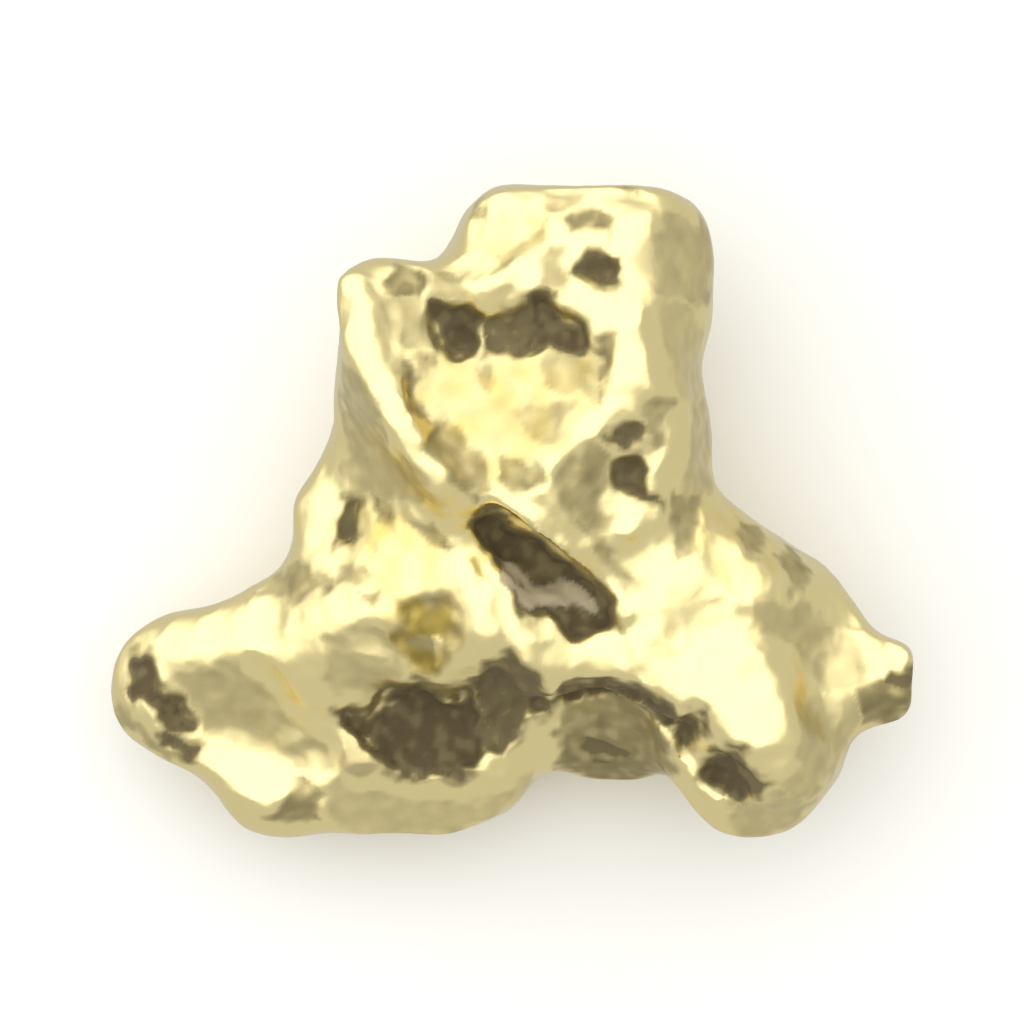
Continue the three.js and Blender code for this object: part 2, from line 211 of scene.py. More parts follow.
# Pits: the brown stain in them is dirt and also painted shade, darker than the gold where the hollows lie in
# shade
pits = {
    "leftEye": {"outline": [(-1.19, 3.13), (-0.78, 3.11), (-0.36, 2.95), (-0.57, 2.65), (-0.57, 2.39),
                            (-0.86, 2.32), (-1.14, 2.53), (-1.2, 2.72)], "depth": 0.17, "stain": 1.0},
    "rightEye": {"outline": [(0.24, 3.17), (0.6, 3.2), (0.87, 2.87), (1.2, 2.6), (1.2, 2.38), (0.27, 2.39),
                             (0.18, 2.72)], "depth": 0.19, "stain": 1.0},
    "rightEyeInner": {"outline": [(-0.45, 2.84), (-0.18, 2.99), (0.22, 3.1), (0.24, 2.39), (-0.45, 2.39)],
                      "depth": 0.08, "stain": 0.75},
    "crownPit": {"outline": [(0.9, 3.59), (1.05, 3.74), (1.29, 3.86), (1.53, 3.77), (1.65, 3.59),
                             (1.59, 3.44), (1.32, 3.32), (1.17, 3.44)], "depth": 0.15, "stain": 0.9},
    "cheekPitTop": {"outline": [(1.41, 1.15), (1.56, 1.28), (1.74, 1.25), (1.92, 1.07), (1.77, 0.98),
                                (1.59, 1.07)], "depth": 0.14, "stain": 0.9},
    "cheekPit": {"outline": [(1.5, 0.7), (1.83, 0.8), (1.92, 0.62), (2.04, 0.32), (2.25, 0.02), (1.86, 0.2),
                             (1.59, 0.4)], "depth": 0.17, "stain": 0.95},
    "slot": {"outline": [(-0.63, -0.13), (-0.4, -0.01), (-0.1, -0.1), (0.42, -0.5), (1.02, -0.95),
                         (1.5, -1.3), (1.56, -1.66), (1.32, -1.81), (0.95, -1.85), (0.57, -1.66),
                         (0.2, -1.45), (-0.1, -0.88), (-0.4, -0.55)], "depth": 0.2, "stain": 1.0},
    "mouth": {"outline": [(-2.64, -3.0), (-2.28, -3.07), (-1.95, -2.9), (-1.75, -2.6), (-1.4, -2.57),
                          (-1.2, -2.66), (-1.0, -2.87), (-0.69, -2.7), (-0.48, -3.13), (-0.42, -3.5),
                          (-0.48, -3.88), (-1.3, -3.92), (-1.83, -3.89), (-2.2, -3.58), (-2.5, -3.35)],
              "depth": 0.24, "stain": 1.0},
    "mouthCorner": {"outline": [(-0.63, -2.6), (-0.25, -2.26), (0.0, -2.15), (0.27, -2.41), (0.66, -2.83),
                                (0.57, -3.05), (0.2, -3.0), (0.05, -3.35), (-0.18, -3.65), (-0.4, -3.5),
                                (-0.48, -3.13)], "depth": 0.18, "stain": 0.85},
    "footPitSmall": {"outline": [(2.43, -3.35), (2.46, -3.1), (2.67, -2.95), (2.85, -3.05), (2.79, -3.4),
                                 (2.6, -3.5)], "depth": 0.16, "stain": 0.9},
    "footPit": {"outline": [(2.75, -3.8), (3.05, -3.58), (3.39, -3.55), (3.5, -3.8), (3.84, -4.1),
                            (3.5, -4.37), (3.2, -4.33), (2.9, -4.07)], "depth": 0.18, "stain": 1.0},
    "toePit": {"outline": [(-5.76, -2.68), (-5.66, -2.3), (-5.5, -2.1), (-5.36, -2.3), (-5.25, -2.68),
                           (-4.98, -2.9), (-4.8, -3.16), (-4.95, -3.25), (-5.2, -3.13), (-5.43, -2.86),
                           (-5.66, -2.86)], "depth": 0.14, "stain": 1.0},
    "toePitLow": {"outline": [(-5.2, -3.25), (-5.0, -3.35), (-4.74, -3.43), (-4.86, -3.65), (-5.1, -3.5)],
                  "depth": 0.12, "stain": 0.9},
    "bumpPit": {"outline": [(-2.5, 0.22), (-2.3, 0.17), (-2.25, -0.28), (-2.4, -0.46), (-2.73, -0.6),
                            (-2.65, -0.2)], "depth": 0.16, "stain": 0.85},
    "stainedPatch": {"outline": [(-1.75, -1.4), (-1.5, -1.36), (-1.3, -1.4), (-0.96, -1.25), (-0.85, -1.5),
                                 (-0.81, -1.93), (-1.08, -2.23), (-1.26, -2.45), (-1.53, -2.15),
                                 (-1.75, -1.85)], "depth": 0.08, "stain": 0.45},
    "pebbleSlit": {"outline": [(1.02, -3.58), (1.17, -3.46), (1.62, -3.46), (1.77, -3.58), (1.62, -3.76),
                               (1.2, -3.73)], "depth": 0.12, "stain": 0.75},
}

# Flat spots with a dull skin: how deep they lie, below zero raised, and how dull; below zero the metal is
# rubbed bright. The tan, grey and olive of the dull spots is tarnish and painted shade: it darkens walls,
# undersides and faces turned from the light, and lays painted shadow at the heel and the knob's corner
patches = {
    "faceTone": {"outline": [(-1.3, 2.4), (1.35, 2.4), (1.3, 1.7), (0.6, 0.9), (-0.2, 0.4), (-0.9, 0.8),
                             (-1.5, 1.7)], "depth": 0.03, "stain": 0.13},
    "browOlive": {"outline": [(-1.91, 3.5), (-1.75, 3.59), (-1.35, 3.59), (-1.3, 3.47), (-1.45, 3.17),
                              (-1.68, 3.2), (-1.86, 3.32)], "depth": 0.05, "stain": 0.55},
    "browTan": {"outline": [(-1.3, 3.5), (-0.7, 3.55), (-0.69, 3.32), (-0.96, 3.17), (-1.23, 3.1)],
                "depth": 0.04, "stain": 0.38},
    "ridgeFoot": {"outline": [(-2.16, 3.4), (-1.86, 3.29), (-1.38, 3.17), (-1.23, 2.9), (-1.2, 2.5),
                              (-1.6, 2.45), (-1.91, 2.9)], "depth": 0.04, "stain": 0.27},
    "ridgeSpot": {"outline": [(-1.68, 2.15), (-1.56, 2.18), (-1.45, 1.97), (-1.5, 1.75), (-1.64, 1.82)],
                  "depth": 0.06, "stain": 0.6},
    "eyeSpot": {"outline": [(-1.32, 2.3), (-1.14, 2.3), (-1.11, 2.15), (-1.26, 2.08)],
                "depth": 0.05, "stain": 0.5},
    "ridgeDent": {"outline": [(-1.56, 1.75), (-1.3, 1.7), (-1.26, 1.45), (-1.5, 1.42)],
                  "depth": 0.05, "stain": 0.4},
    "faceDent": {"outline": [(-1.3, 0.92), (-1.2, 1.15), (-1.0, 1.34), (-0.7, 1.0), (-0.4, 0.95),
                             (-0.32, 0.35), (-0.51, 0.17), (-0.96, 0.62)], "depth": 0.06, "stain": 0.4},
    "chinDent": {"outline": [(-0.1, 0.92), (0.2, 0.89), (0.54, 0.5), (0.34, 0.35), (0.0, 0.35),
                             (-0.18, 0.55)], "depth": 0.06, "stain": 0.45},
    "noseDent": {"outline": [(-0.03, 1.49), (0.49, 1.6), (0.9, 1.63), (0.79, 1.3), (0.49, 1.04),
                             (0.24, 1.19)], "depth": 0.05, "stain": 0.34},
    "underEye": {"outline": [(0.39, 2.15), (0.6, 2.39), (1.32, 2.39), (1.44, 2.24), (1.4, 1.75),
                             (1.17, 1.67), (0.49, 1.82)], "depth": 0.05, "stain": 0.3},
    "noseStripe": {"outline": [(-0.43, 2.27), (-0.21, 2.3), (-0.18, 2.05), (-0.33, 1.75), (-0.51, 1.9)],
                   "depth": 0.04, "stain": 0.3},
    "crestFoot": {"outline": [(1.29, 2.6), (1.5, 2.69), (1.5, 2.42), (1.41, 1.97), (1.32, 1.67),
                              (1.26, 1.97)], "depth": 0.06, "stain": 0.5},
    "browStripe": {"outline": [(-0.6, 3.8), (-0.18, 3.83), (0.27, 4.15), (0.57, 4.34), (0.49, 4.04),
                               (0.12, 3.7), (-0.18, 3.55)], "depth": 0.05, "stain": 0.32},
    "crownNotch": {"outline": [(-0.6, 4.34), (-0.54, 4.55), (-0.39, 4.63), (-0.45, 4.37)],
                   "depth": 0.05, "stain": 0.45},
    "crownOlive": {"outline": [(0.84, 4.45), (1.17, 4.52), (1.4, 4.3), (1.44, 4.1), (1.17, 4.15),
                               (0.9, 4.15)], "depth": 0.06, "stain": 0.5},
    "crownTan": {"outline": [(0.49, 4.6), (0.94, 4.82), (1.2, 4.79), (0.87, 4.55), (0.6, 4.45)],
                 "depth": 0.03, "stain": 0.25},
    "crownEdge": {"outline": [(1.54, 4.9), (1.77, 4.88), (1.95, 4.7), (1.8, 4.7)],
                  "depth": 0.04, "stain": 0.4},
    "pitSide": {"outline": [(0.54, 3.92), (0.81, 3.95), (0.84, 3.62), (0.75, 3.32), (0.57, 3.17),
                            (0.49, 3.47)], "depth": 0.04, "stain": 0.34},
    "crownRight": {"outline": [(1.8, 3.74), (2.07, 4.15), (2.29, 4.45), (2.82, 4.34), (3.01, 3.77),
                               (2.9, 3.17), (2.22, 3.25), (1.92, 3.4)], "depth": 0, "stain": 0.18},
    "wallMiddle": {"outline": [(2.15, 3.17), (2.67, 3.1), (2.82, 2.57), (2.86, 1.82), (2.67, 1.67),
                               (2.4, 1.82), (2.34, 2.42)], "depth": 0, "stain": 0.12},
    "wallLow": {"outline": [(2.67, 1.67), (3.0, 1.67), (3.0, 0.32), (2.82, 0.17), (2.59, 0.25), (2.64, 0.92)],
                "depth": 0, "stain": 0.15},
    "cheekDent": {"outline": [(1.92, 1.45), (2.15, 1.67), (2.4, 1.67), (2.34, 1.22), (2.15, 1.0),
                              (1.99, 1.07)], "depth": 0.05, "stain": 0.36},
    "cheekFlat": {"outline": [(0.79, 0.92), (1.17, 1.06), (1.36, 0.92), (1.47, 0.47), (1.32, 0.17),
                              (1.47, -0.05), (1.29, -0.28), (0.72, 0.1), (0.65, 0.32)],
                  "depth": 0.04, "stain": 0.36},
    "grooveFlat": {"outline": [(0.94, -0.1), (1.29, -0.25), (1.69, -0.76), (1.95, -1.1), (1.74, -1.21),
                               (1.4, -0.73)], "depth": 0.04, "stain": 0.34},
    "leftWall": {"outline": [(-2.5, 2.27), (-1.91, 1.52), (-1.86, 1.0), (-1.08, 0.17), (-1.68, 0.14),
                             (-2.4, 0.25), (-2.5, 0.92)], "depth": 0, "stain": 0.2},
    "wallSpot": {"outline": [(-2.1, 0.17), (-1.91, 0.17), (-1.86, -0.1), (-2.01, -0.19)],
                 "depth": 0.05, "stain": 0.48},
    "middleSpot": {"outline": [(-1.38, -0.2), (-1.16, -0.17), (-0.96, -0.5), (-1.08, -0.61), (-1.26, -0.5)],
                   "depth": 0.05, "stain": 0.42},
    "footBack": {"outline": [(-3.9, -1.18), (-3.63, -0.98), (-3.18, -0.85), (-2.73, -0.91), (-2.8, -1.18),
                             (-3.25, -1.3), (-3.71, -1.3)], "depth": 0.05, "stain": 0.38},
    "middleDent": {"outline": [(-2.65, -0.88), (-2.28, -0.79), (-2.1, -0.91), (-2.28, -1.1), (-2.61, -1.15)],
                   "depth": 0.04, "stain": 0.28},
    "ochreSpot": {"outline": [(-2.25, -1.21), (-1.91, -1.15), (-1.98, -1.33), (-2.19, -1.36)],
                  "depth": 0.04, "stain": 0.42},
    "middlePlane": {"outline": [(-2.73, -1.93), (-2.43, -1.7), (-2.05, -1.66), (-1.75, -1.93),
                                (-1.68, -2.38), (-1.83, -2.68), (-2.21, -2.83), (-2.58, -2.68),
                                (-2.76, -2.38)], "depth": 0.04, "stain": 0.16},
    "trough": {"outline": [(-5.21, -2.23), (-4.6, -2.26), (-4.08, -2.23), (-3.75, -2.68), (-3.33, -2.9),
                           (-2.73, -3.85), (-3.18, -3.85), (-4.6, -3.35), (-4.83, -2.9)],
               "depth": 0.03, "stain": 0.22},
    "toeUnder": {"outline": [(-5.96, -2.9), (-5.43, -3.35), (-4.98, -3.65), (-5.13, -3.76), (-5.58, -3.46),
                             (-5.91, -3.16)], "depth": 0, "stain": 0.25},
    "heelOlive": {"outline": [(-3.48, -4.25), (-3.18, -4.03), (-2.91, -4.18), (-2.96, -4.63), (-3.4, -4.75),
                              (-3.63, -4.7)], "depth": 0.05, "stain": 0.45},
    "bellyFlat": {"outline": [(-2.88, -3.95), (-2.28, -4.25), (-1.38, -4.4), (-0.48, -4.33), (0.27, -3.95),
                              (0.49, -4.1), (-0.78, -4.81), (-2.58, -4.75)], "depth": 0, "stain": 0.12},
    "mouthLeft": {"outline": [(-2.62, -3.2), (-2.3, -3.3), (-2.05, -3.75), (-2.2, -3.95), (-2.55, -3.85)],
                  "depth": 0, "stain": 0.22},
    "shoulderDent": {"outline": [(3.42, -0.13), (3.75, -0.16), (3.79, -0.5), (3.6, -0.7), (3.45, -0.5)],
                     "depth": 0.05, "stain": 0.36},
    "shoulderEdge": {"outline": [(3.99, -0.55), (4.2, -0.5), (4.39, -0.95), (4.32, -1.33), (4.14, -1.18)],
                     "depth": 0.05, "stain": 0.38},
    "neckStrip": {"outline": [(2.4, 0.25), (2.82, 0.2), (2.9, -0.05), (2.75, -0.5), (2.55, -0.76),
                              (2.46, -0.43)], "depth": 0.05, "stain": 0.34},
    "flank": {"outline": [(3.34, -1.4), (3.94, -1.3), (4.62, -1.55), (5.22, -2.08), (5.19, -2.68),
                          (4.77, -2.83), (4.25, -2.08), (3.79, -1.78)], "depth": 0, "stain": 0.18},
    "footSide": {"outline": [(4.32, -2.83), (5.14, -2.75), (5.19, -3.13), (5.0, -3.73), (4.32, -4.36),
                             (3.94, -4.18), (4.32, -3.73)], "depth": 0, "stain": 0.15},
    "footEnd": {"outline": [(3.34, -4.48), (3.94, -4.25), (4.54, -4.33), (4.32, -4.7), (3.87, -4.9),
                            (3.34, -4.85)], "depth": 0, "stain": 0.15},
    "knobFace": {"outline": [(5.22, -2.71), (5.52, -2.53), (6.0, -2.56), (6.0, -2.9), (5.75, -3.16),
                             (5.29, -3.16)], "depth": 0, "stain": 0.5},
    "knobCorner": {"outline": [(5.59, -2.41), (5.89, -2.35), (6.04, -2.41), (6.0, -2.6), (5.59, -2.59)],
                   "depth": 0.05, "stain": 0.75},
    "pebble": {"outline": [(0.75, -2.86), (1.17, -2.68), (1.69, -2.71), (2.15, -3.05), (2.37, -3.5),
                           (2.4, -4.0), (1.92, -4.12), (1.17, -4.07), (0.69, -3.88)],
               "depth": 0, "stain": 0.48},
    "browBridge": {"outline": [(-0.75, 3.8), (-0.4, 3.89), (-0.15, 3.65), (-0.1, 3.17), (-0.3, 2.93),
                               (-0.51, 2.99), (-0.63, 3.32)], "depth": -0.06, "stain": -0.9},
    "slotSide": {"outline": [(-0.85, -0.88), (-0.55, -0.73), (-0.3, -1.33), (-0.1, -2.08), (-0.4, -2.26),
                             (-0.66, -1.78)], "depth": -0.06, "stain": -0.6},
    "patchGlint": {"outline": [(-1.26, -1.93), (-1.08, -1.9), (-1.02, -2.15), (-1.2, -2.26)],
                   "depth": -0.05, "stain": -0.8},
    "mouthGlint": {"outline": [(-2.21, -3.37), (-2.07, -3.35), (-2.04, -3.5), (-2.19, -3.52)],
                   "depth": -0.04, "stain": -0.8},
}

# Where the metal is a warmer yellow, and how much
warmPlaces = {
    "face": {"outline": [(-1.3, 2.4), (1.35, 2.4), (1.3, 1.7), (0.6, 0.9), (-0.2, 0.4), (-0.9, 0.8),
                         (-1.5, 1.7)], "share": 0.28},
    "middle": {"outline": [(-2.3, 0.1), (-1.2, 0.0), (-0.9, -0.7), (-0.9, -1.3), (-1.8, -1.35), (-2.4, -0.8)],
               "share": 0.3},
    "ochre": {"outline": [(-1.75, -1.4), (-0.96, -1.25), (-0.81, -1.93), (-1.26, -2.45), (-1.75, -1.85)],
              "share": 1.0},
    "shoulder": {"outline": [(2.8, 0.2), (3.5, 0.0), (4.2, -0.7), (4.0, -1.2), (3.2, -1.0), (2.7, -0.6)],
                 "share": 0.25},
    "crown": {"outline": [(-0.6, 4.3), (0.5, 4.5), (0.6, 3.9), (-0.2, 3.6), (-0.7, 3.8)], "share": 0.25},
}

# A flake of pale silt that lies in the slot
siltFlake = {"outline": [(-0.21, -0.71), (0.08, -0.98), (0.5, -1.07), (1.2, -1.22), (1.28, -1.49),
                         (0.75, -1.47), (0.21, -1.38), (-0.12, -1.05)], "rise": 0.14}

# Crests and creases along a path: half width and height, creases below zero
lines = {
    "longRidge": {"path": [(-2.4, 3.32), (-2.25, 2.57), (-1.86, 1.67), (-1.56, 1.07), (-1.08, 0.5),
                           (-0.75, 0.05)], "wide": 0.35, "height": 0.1},
    "slotLip": {"path": [(-0.33, 0.2), (0.42, -0.32), (1.17, -0.97), (1.62, -1.4)],
                "wide": 0.26, "height": 0.12},
    # The dark stain along the crease under the arch is painted shade under the overhang
    "archCrease": {"path": [(0.84, -2.71), (1.02, -2.62), (1.4, -2.6), (1.85, -2.7), (2.15, -2.86),
                            (2.34, -3.07)], "wide": 0.16, "height": -0.15, "stain": 0.95},
    "footLip": {"path": [(2.15, -2.87), (2.34, -3.35), (2.6, -3.8), (3.05, -4.33)],
                "wide": 0.09, "height": 0.12},
}

# Folds of the solid that are drawn over, along a path
folds = {
    "footTrough": [(-4.3, -1.9), (-3.7, -2.2), (-3.1, -2.9), (-2.9, -3.6), (-2.85, -4.2)],
    "mouthLip": [(-2.4, -2.6), (-1.5, -2.65), (-0.6, -2.7), (-0.1, -2.6)],
    "wallFoot": [(-2.5, 0.5), (-1.9, -0.15), (-1.2, -0.65)],
    "slotSide": [(-0.55, -0.5), (-0.1, -1.3), (0.1, -1.8), (1.4, -1.9)],
}

noiseReach = 2  # the noise reaches about a half, and this brings it to one

# Pairs are where something starts and where it is full, in mm unless the note says otherwise
markFeel = {
    "pitWall": (-0.065, 0.13),  # from outside a pit's lip to its floor
    "patchEdge": (-0.09, 0.09),
    "flakeEdge": (-0.05, 0.1),
    "lineEdge": (0.45, 1.15),  # shares of a line's half width over which it fades out
    "wander": 0.09,  # mm that the edges wander, and over what length
    "wanderLength": 0.4,
    "ragged": 0.035,
    "raggedLength": 0.16,
    "fillRounds": 4,  # how often the solid's hollows and creases are evened out, and how long each time
    "fillPasses": 90,
    "fillPit": (-0.7, -0.2),
    "fillLine": (0.3, 0.8),
    "fillFold": (0.4, 0.9),
    "crease": (0.008, 0.03),  # mm under its surroundings at which skin counts as a crease
    "creasePasses": 25,  # how wide these surroundings are, and how softly the crease fades into them
    "creaseFade": 8,
    "broadPasses": 60,  # evens the skin's normals out until they pass over the pits
    "upward": (0.1, 0.45),  # how far skin must face up to take a mark
    "upperSide": (1.3, 1.9),  # heights over the plane of rest above which the folds are drawn over
    "pushed": (2.9, 3.4),  # and above which the swells are pushed out
    "pitRelief": 0.05,  # mm of unevenness on the floors of the pits, and over what length
    "pitReliefLength": 0.2,
    "reliefFrom": 0.7,  # only pits stained more than this are uneven
}

facetFeel = {
    "topWithin": 0.1,  # mm around a facet's place in which its highest point is looked for
    "fadeFrom": 0.6,  # share of its reach at which it starts to fade out
    "evenRounds": 3,
}

# How the stain spreads: tarnish, dirt and the painted shade of the dull spots and pits
tarnishAndShadeFeel = {
    "patchEdge": (-0.07, 0.06),
    "pitEdge": (-0.13, 0.08),
    "rubbedEdge": (-0.03, 0.05),
    "flakeEdge": (-0.03, 0.06),
    "warmEdge": (-0.2, 0.3),
    "upward": (0, 0.25),  # how far skin must face up to be stained
    "crease": (0.01, 0.05),
    "creasePasses": 12,
    "creaseStain": 0.5,  # stain and silt in the creases of the metal
    "creaseSilt": 0.7,
    "siltOff": (0.45, 0.7),  # stain over which no silt shows
    "mottle": 0.15,  # how much the half-stained metal is broken up, and in what size
    "mottleSize": 0.26,
    "dirt": 0.3,  # how much the dirt in the pits varies, and in what size
    "dirtSize": 0.2,
    "warmSize": 0.35,
}


def wandered(points):  # places in plan, shifted so that the edges drawn on them come out ragged
    shifts = []
    for seed in (1, 2):
        broad = markFeel["wander"] * wobble(points, markFeel["wanderLength"], seed)
        shifts.append(broad + markFeel["ragged"] * wobble(points, markFeel["raggedLength"], seed + 2))
    return points[:, :2] + noiseReach * np.stack(shifts, 1)


def onLine(plan, line):
    near, far = markFeel["lineEdge"]
    return 1 - smoothStep(near * line["wide"], far * line["wide"], gapToPath(plan, line["path"]))


def hollowness(mesh, points, normals, passes):  # mm that a point lies under its surroundings
    return np.einsum("ij,ij->i", settled(mesh, points, passes) - points, normals)


def evenOut(mesh, near, rounds):  # rounds off the creases, and what is near, but no edge that stands out
    for _ in range(rounds):
        points, normals = meshArrays(mesh)
        crease = smoothStep(*markFeel["crease"], hollowness(mesh, points, normals, markFeel["creasePasses"]))
        crease = settled(mesh, crease[:, None], markFeel["creaseFade"])[:, 0]
        setPoints(mesh, settled(mesh, points, markFeel["fillPasses"], np.maximum(near, crease)))


def fillHollows(piece):  # draws the skin over the solid's own hollows, so that the pits start from even metal
    mesh = piece.data
    points, normals = meshArrays(mesh)
    plan = points[:, :2]
    near = np.zeros(len(points))
    for pit in pits.values():
        near = np.maximum(near, smoothStep(*markFeel["fillPit"], depthInside(plan, pit["outline"])))
    for line in lines.values():
        if line["height"] < 0:
            near = np.maximum(near, 1 - smoothStep(*markFeel["fillLine"], gapToPath(plan, line["path"])))
    near *= smoothStep(*markFeel["upward"], normals[:, 2])
    for fold in folds.values():
        cover = 1 - smoothStep(*markFeel["fillFold"], gapToPath(plan, fold))
        near = np.maximum(near, cover * smoothStep(*markFeel["upperSide"], points[:, 2]))
    evenOut(mesh, near, markFeel["fillRounds"])
    print("hollows filled")


def raiseSwells(piece):
    points, normals = meshArrays(piece.data)
    facesUp = smoothStep(*markFeel["upward"], normals[:, 2])
    high = smoothStep(*markFeel["pushed"], points[:, 2])
    moved = points.copy()
    for swell in swells.values():
        share = 1 - smoothStep(0, swell["wide"], gapToPath(points[:, :2], swell["path"]))
        moved += (swell["height"] * share * facesUp)[:, None] * normals
        moved[:, :2] += (share * high)[:, None] * swell["push"]
    setPoints(piece.data, moved)
    print("swells raised,", len(swells))


def planeFacets(piece):
    points = meshArrays(piece.data)[0]
    for facet in facets.values():
        lean, slope = math.radians(facet["lean"]), math.radians(facet["slope"])
        out = np.array([math.cos(lean) * math.sin(slope), math.sin(lean) * math.sin(slope), math.cos(slope)])
        near = np.linalg.norm(points[:, :2] - facet["at"], axis=1) < facetFeel["topWithin"]
        top = np.array([*facet["at"], points[near, 2].max()])
        above = (points - top) @ out + facet["depth"]
        gap = np.linalg.norm(points - top, axis=1)
        fade = 1 - smoothStep(facetFeel["fadeFrom"] * facet["reach"], facet["reach"], gap)
        points -= (np.maximum(above, 0) * fade)[:, None] * out
    setPoints(piece.data, points)
    evenOut(piece.data, 0, facetFeel["evenRounds"])
    print("facets planed,", len(facets))


def pressMarks(piece):
    points, normals = meshArrays(piece.data)
    plan = wandered(points)
    facesUp = smoothStep(*markFeel["upward"], normals[:, 2])
    sink = np.zeros(len(points))
    relief = noiseReach * markFeel["pitRelief"] * wobble(points, markFeel["pitReliefLength"], 6)
    for pit in pits.values():
        cover = smoothStep(*markFeel["pitWall"], depthInside(plan, pit["outline"]))
        sink += (pit["depth"] + relief * (pit["stain"] > markFeel["reliefFrom"])) * cover
    for patch in patches.values():
        sink += patch["depth"] * smoothStep(*markFeel["patchEdge"], depthInside(plan, patch["outline"]))
    sink -= siltFlake["rise"] * smoothStep(*markFeel["flakeEdge"], depthInside(plan, siltFlake["outline"]))
    for line in lines.values():
        sink -= line["height"] * onLine((plan + points[:, :2]) / 2, line)
    # Near enough upright that no lip hangs over
    outwards = settled(piece.data, normals, markFeel["broadPasses"]) + (0, 0, 1)
    outwards /= np.linalg.norm(outwards, axis=1)[:, None]
    setPoints(piece.data, points - (sink * facesUp)[:, None] * outwards)
    print("marks pressed, deepest", round(float(sink.max()), 2), "mm")


# Stain of the skin: tarnish and dirt, and painted shade on the dull spots, the pits and the crease under the
# arch
def stainAndShadeOf(points, creased):
    plan = wandered(points)
    stain = creased
    for patch in patches.values():
        cover = smoothStep(*tarnishAndShadeFeel["patchEdge"], depthInside(plan, patch["outline"]))
        stain = np.maximum(stain, patch["stain"] * cover)
    for pit in pits.values():
        cover = smoothStep(*tarnishAndShadeFeel["pitEdge"], depthInside(plan, pit["outline"]))
        stain = np.maximum(stain, pit["stain"] * cover)
    for line in lines.values():
        along = onLine((plan + points[:, :2]) / 2, line)
        stain = np.maximum(stain, line.get("stain", 0) * along)
    for patch in patches.values():
        if patch["stain"] < 0:
            cover = smoothStep(*tarnishAndShadeFeel["rubbedEdge"], depthInside(plan, patch["outline"]))
            stain = stain * (1 + patch["stain"] * cover)
    mottle = wobble(points, tarnishAndShadeFeel["mottleSize"], 8)
    dirt = np.clip(noiseReach * wobble(points, tarnishAndShadeFeel["dirtSize"], 9), 0, 1)
    stain = stain + 4 * tarnishAndShadeFeel["mottle"] * mottle * stain * (1 - stain)  # most at half stain
    return np.clip(stain * (1 - tarnishAndShadeFeel["dirt"] * dirt), 0, 1)


def flakeOf(points):
    return smoothStep(*tarnishAndShadeFeel["flakeEdge"], depthInside(wandered(points), siltFlake["outline"]))


def warmthOf(points):
    plan = wandered(points)
    mottle = 0.5 + wobble(points, tarnishAndShadeFeel["warmSize"], 10)
    covers = []
    for place in warmPlaces.values():
        inside = depthInside(plan, place["outline"])
        covers.append(place["share"] * smoothStep(*tarnishAndShadeFeel["warmEdge"], inside))
    return np.clip(np.max(covers, axis=0) * noiseReach * mottle, 0, 1)


nugget = skinOverSolid(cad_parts["nugget"])
print("skin over the solid,", len(nugget.data.vertices), "points")
fillHollows(nugget)
raiseSwells(nugget)
planeFacets(nugget)
pressMarks(nugget)
remeshed(nugget, nuggetSkin["netStep"], nuggetSkin["finePasses"])
print("even net,", len(nugget.data.polygons), "faces")


# Dents with sharp crests between them all over the metal, by a node tree on the surface

wornShare = {"faces": (0.3, 0.8), "least": 0.25, "reach": 4.0}  # less on steep sides; brings the noise to one
wornSkin = {"dentSize": 0.75, "dentDepth": 0.055, "rippleSize": 0.3, "rippleDepth": 0.008, "seed": 3}


def wornSkinTree():
    tree = bpy.data.node_groups.new("wornSkin", "GeometryNodeTree")
    tree.interface.new_socket("Geometry", in_out="INPUT", socket_type="NodeSocketGeometry")
    for name in wornSkin:
        tree.interface.new_socket(name, in_out="INPUT", socket_type="NodeSocketFloat")
    tree.interface.new_socket("Material", in_out="INPUT", socket_type="NodeSocketMaterial")
    tree.interface.new_socket("Geometry", in_out="OUTPUT", socket_type="NodeSocketGeometry")
    group = tree.nodes.new("NodeGroupInput").outputs
    place = addNode(tree, "GeometryNodeInputPosition").outputs[0]
    normal = addNode(tree, "GeometryNodeInputNormal").outputs[0]
    sinks = []
    for size, depth in (("dentSize", "dentDepth"), ("rippleSize", "rippleDepth")):
        scale = addNode(tree, "ShaderNodeMath", {"operation": "DIVIDE"}, in0=1.0, in1=group[size]).outputs[0]
        swell = addNode(tree, "ShaderNodeTexNoise", {"noise_dimensions": "4D"}, Vector=place, W=group["seed"],
                        Scale=scale, Detail=1.0).outputs[0]
        centred = addNode(tree, "ShaderNodeMath", {"operation": "SUBTRACT"}, in0=swell, in1=0.5).outputs[0]
        dent = addNode(tree, "ShaderNodeMath", {"operation": "ABSOLUTE"}, in0=centred).outputs[0]
        sunk = addNode(tree, "ShaderNodeMath", {"operation": "MULTIPLY"}, in0=dent, in1=group[depth])
        sinks.append(sunk.outputs[0])
    both = addNode(tree, "ShaderNodeMath", {"operation": "ADD"}, in0=sinks[0], in1=sinks[1]).outputs[0]
    upward = addNode(tree, "ShaderNodeSeparateXYZ", in0=normal).outputs[2]
    steep, level = wornShare["faces"]
    share = addNode(tree, "ShaderNodeMapRange", in0=upward, in1=steep, in2=level, in3=wornShare["least"],
                    in4=1.0).outputs[0]
    sink = addNode(tree, "ShaderNodeMath", {"operation": "MULTIPLY"}, in0=both, in1=share).outputs[0]
    inwards = addNode(tree, "ShaderNodeVectorMath", {"operation": "SCALE"}, in0=normal,
                      in3=-wornShare["reach"]).outputs[0]
    step = addNode(tree, "ShaderNodeVectorMath", {"operation": "SCALE"}, in0=inwards, in3=sink).outputs[0]
    moved = addNode(tree, "GeometryNodeSetPosition", Geometry=group["Geometry"], Offset=step).outputs[0]
    real = addNode(tree, "GeometryNodeRealizeInstances", Geometry=moved).outputs[0]
    dressed = addNode(tree, "GeometryNodeSetMaterial", Geometry=real, Material=group["Material"]).outputs[0]
    out = tree.nodes.new("NodeGroupOutput")
    tree.links.new(dressed, out.inputs[0])
    return tree
